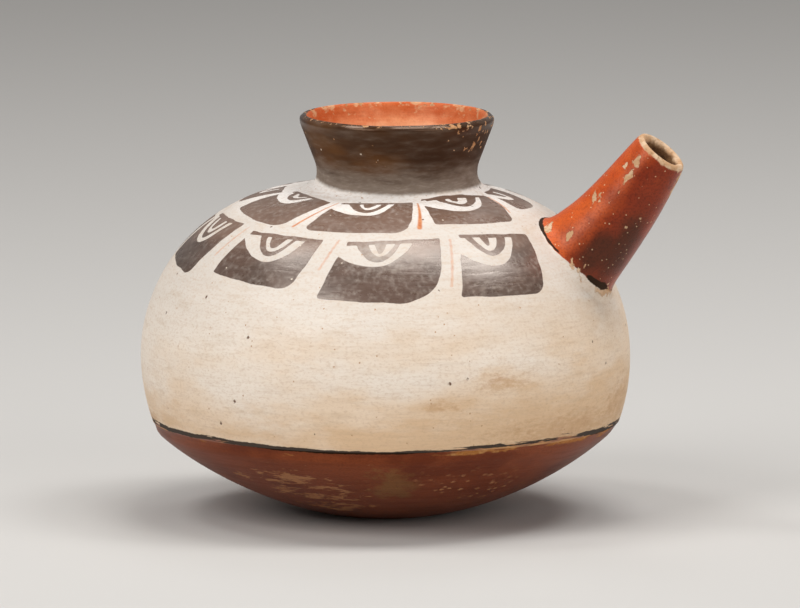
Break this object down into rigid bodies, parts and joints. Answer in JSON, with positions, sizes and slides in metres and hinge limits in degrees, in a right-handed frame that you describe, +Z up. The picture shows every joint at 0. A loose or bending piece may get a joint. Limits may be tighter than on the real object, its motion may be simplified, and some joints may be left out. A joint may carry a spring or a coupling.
{
  "type": "spouted ceramic jar",
  "caption": "Globular slip-painted ceramic jar with a flaring open collar neck and a tapered tubular pouring spout on its shoulder.",
  "frame": {"origin": "middle of the flat under the base that the jar stands on", "axes": "+Z up along the body's axis; +X towards the spout; the jar is a mirror image of itself across the XZ plane"},
  "size_m": [0.2144, 0.19, 0.155],
  "materials": {
    "red_slip": "burnished red-brown slip on fired clay",
    "cream_slip": "cream slip on fired clay, softly burnished and painted",
    "umber_slip": "burnished dark umber slip on fired clay",
    "spout_slip": "burnished orange-red slip on fired clay, worn at the mouth"
  },
  "bodies": {
    "root": {"base_bowl": "red_slip", "belly_coil": "cream_slip", "shoulder_coil_1": "cream_slip", "shoulder_coil_2": "cream_slip", "shoulder_coil_3": "cream_slip", "shoulder_coil_4": "cream_slip", "crown_coil": "cream_slip", "neck_collar": "umber_slip", "neck_lute": "umber_slip", "spout_tube": "spout_slip", "spout_lute": "spout_slip"}
  },
  "joints": []
}
